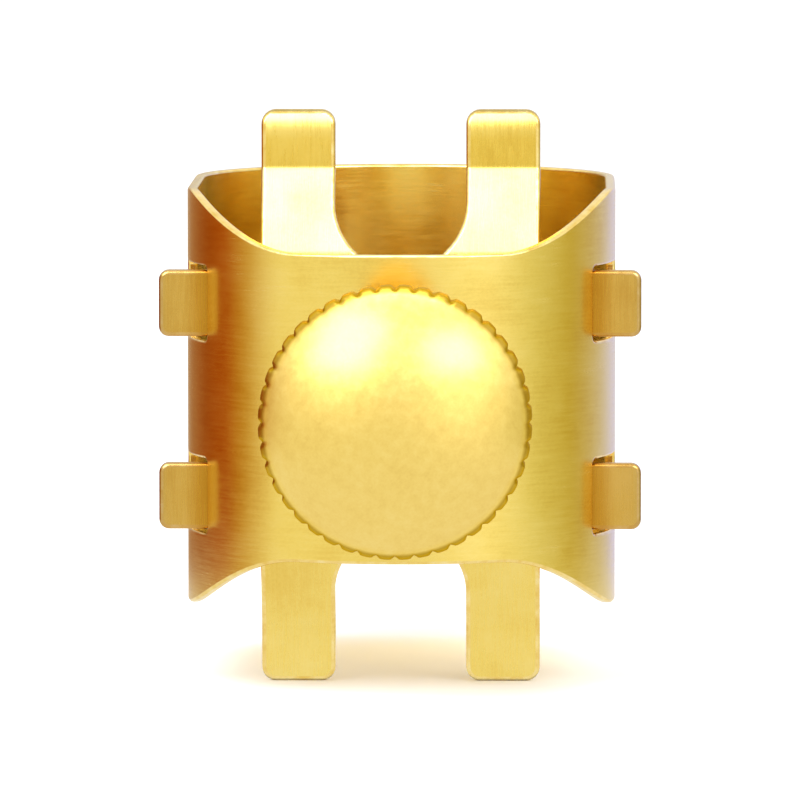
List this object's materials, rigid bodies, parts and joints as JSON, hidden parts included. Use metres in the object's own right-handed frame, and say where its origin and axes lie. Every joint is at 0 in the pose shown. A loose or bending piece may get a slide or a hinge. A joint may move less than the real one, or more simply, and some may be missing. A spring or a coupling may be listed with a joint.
{
  "type": "saxophone ligature",
  "caption": "Sheet-brass ring with a domed clamp screw that pushes an H-shaped spring plate onto the reed of a slim metal tenor saxophone mouthpiece.",
  "frame": {"origin": "where the clamp screw's axis crosses the axis of the ring's front arch, half way up the ring", "axes": "+Z along the mouthpiece towards its tip, +Y from the knob towards the back of the ring, +X to the right when the knob faces the viewer"},
  "size_m": [0.0218, 0.0382, 0.026],
  "materials": {
    "band_gold": "satin gold plate with fine lengthwise polishing lines and bright cut edges",
    "knob_gold": "fine blasted pale gold plate",
    "plate_gold": "brushed gold plate",
    "screw_gold": "turned bright gold plate"
  },
  "bodies": {
    "band": {"band": "band_gold", "threaded_boss": "band_gold"},
    "plate": {"pressure_plate": "plate_gold"},
    "screw": {"knob": "knob_gold", "screw_stem": "screw_gold", "thrust_washer": "screw_gold", "retaining_washer": "screw_gold", "retaining_clip": "screw_gold"}
  },
  "joints": [
    {"name": "plate_slide", "type": "slide", "parent": "band", "child": "plate", "axis": [0, 1, 0], "range_m": [0, 0.003]},
    {"name": "screw_turn", "type": "hinge", "parent": "plate", "child": "screw", "pos_m": [0, -0.0114, 0], "axis": [0, 1, 0], "range_deg": [0, 1800]}
  ],
  "couplings": [
    {"joint": "screw_turn", "follows": "plate_slide", "rad_per_m": 10472}
  ]
}
